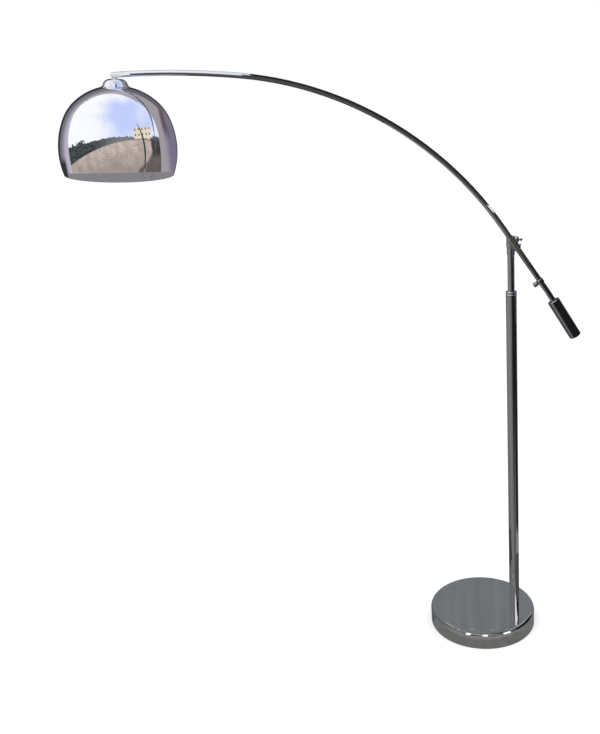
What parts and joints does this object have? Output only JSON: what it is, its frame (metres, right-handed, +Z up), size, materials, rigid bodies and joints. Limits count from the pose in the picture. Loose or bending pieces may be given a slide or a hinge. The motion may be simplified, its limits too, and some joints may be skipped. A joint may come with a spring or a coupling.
{
  "type": "arc floor lamp",
  "caption": "Chrome arc floor lamp: weighted round base, telescopic mast, tilting clamp, curved arm with counterweight and a swivelling dome shade.",
  "frame": {"origin": "centre of the round base, on the floor plane under its felt pad", "axes": "+Z up along the mast; -X from the base towards the hanging shade; the arm lies in a plane parallel to XZ"},
  "size_m": [1.3456, 0.3296, 1.6354],
  "materials": {
    "chrome": "polished",
    "shade_metal": "polished",
    "zinc_steel": "satin",
    "cast_iron": "matte",
    "felt": "matte",
    "nylon": "satin",
    "black_plastic": "satin",
    "rubber": "matte",
    "brass": "satin",
    "ceramic": "satin",
    "bulb_metal": "satin",
    "opal_glass": "satin"
  },
  "bodies": {
    "base": {"base_cover": "chrome", "base_weight": "cast_iron", "base_plate": "zinc_steel", "base_pad": "felt", "plate_screws": "zinc_steel", "mast_washer": "zinc_steel", "mast_bolt": "zinc_steel", "mast_spacer": "zinc_steel", "mast_foot_plug": "zinc_steel", "cord_gland": "rubber", "lower_mast": "chrome", "mast_top_fitting": "zinc_steel", "mast_bush": "nylon"},
    "lock_collar": {"lock_collar": "chrome"},
    "upper_mast": {"upper_mast": "chrome", "upper_mast_guide": "nylon"},
    "mast_head": {"mast_head": "chrome", "head_grub_screw": "zinc_steel"},
    "tilt_knob": {"tilt_knob": "chrome"},
    "clamp": {"arm_clamp": "chrome", "clamp_liner": "nylon", "pivot_washer": "nylon", "pivot_spring_washer": "zinc_steel", "pivot_nut": "chrome"},
    "clamp_screw": {"clamp_screw": "chrome"},
    "arm": {"arm_tube": "chrome", "tip_plug": "chrome", "ball_stud": "chrome", "tail_insert": "zinc_steel", "counterweight": "chrome", "counterweight_bolt": "zinc_steel"},
    "stop_collar": {"stop_collar": "chrome"},
    "stop_screw": {"stop_screw": "chrome"},
    "shade_swivel": {"ball_seat": "nylon"},
    "shade": {"socket_ring": "chrome", "socket_cup": "chrome", "shade_cap": "chrome", "holder_cap": "black_plastic", "stem_nut": "zinc_steel", "shade_ring": "black_plastic", "holder_sleeve": "black_plastic", "contact_block": "ceramic", "terminal_screws": "brass", "centre_contact": "brass", "screw_shell": "brass", "shade": "shade_metal", "bulb_contact": "brass", "bulb_cap": "bulb_metal", "bulb_glass": "opal_glass"}
  },
  "joints": [
    {"name": "mast_slide", "type": "slide", "parent": "base", "child": "upper_mast", "axis": [0, 0, 1], "range_m": [-0.095, 0.4]},
    {"name": "collar_twist", "type": "hinge", "parent": "base", "child": "lock_collar", "pos_m": [0.094, 0, 0.9985], "axis": [0, 0, 1], "range_deg": [0, 90]},
    {"name": "head_swivel", "type": "hinge", "parent": "upper_mast", "child": "mast_head", "pos_m": [0.094, 0, 1.112], "axis": [0, 0, 1], "range_deg": [-170, 170]},
    {"name": "tilt_knob_turn", "type": "hinge", "parent": "mast_head", "child": "tilt_knob", "pos_m": [0.109, 0, 1.142], "axis": [1, 0, 0], "range_deg": [0, 360]},
    {"name": "arm_tilt", "type": "hinge", "parent": "mast_head", "child": "clamp", "pos_m": [0.094, 0, 1.142], "axis": [0, 1, 0], "range_deg": [-30, 20]},
    {"name": "clamp_screw_turn", "type": "hinge", "parent": "clamp", "child": "clamp_screw", "pos_m": [0.11571, -0.0212, 1.13303], "axis": [0.8415, 0, 0.5402], "range_deg": [0, 360]},
    {"name": "arm_slide", "type": "slide", "parent": "clamp", "child": "arm", "axis": [0.5402, 0, -0.8415], "range_m": [-0.065, 0.03]},
    {"name": "stop_slide", "type": "slide", "parent": "arm", "child": "stop_collar", "axis": [0.5402, 0, -0.8415], "range_m": [-0.03, 0.016]},
    {"name": "stop_screw_turn", "type": "hinge", "parent": "stop_collar", "child": "stop_screw", "pos_m": [0.15478, -0.0212, 1.02775], "axis": [-0.8415, 0, -0.5402], "range_deg": [0, 360]},
    {"name": "shade_tilt", "type": "hinge", "parent": "arm", "child": "shade_swivel", "pos_m": [-0.90348, -0.0212, 1.6135], "axis": [0, 1, 0], "range_deg": [-12, 6]},
    {"name": "shade_turn", "type": "hinge", "parent": "shade_swivel", "child": "shade", "pos_m": [-0.90348, -0.0212, 1.6135], "axis": [0.1063, 0, 0.9943], "range_deg": [-170, 170]}
  ]
}
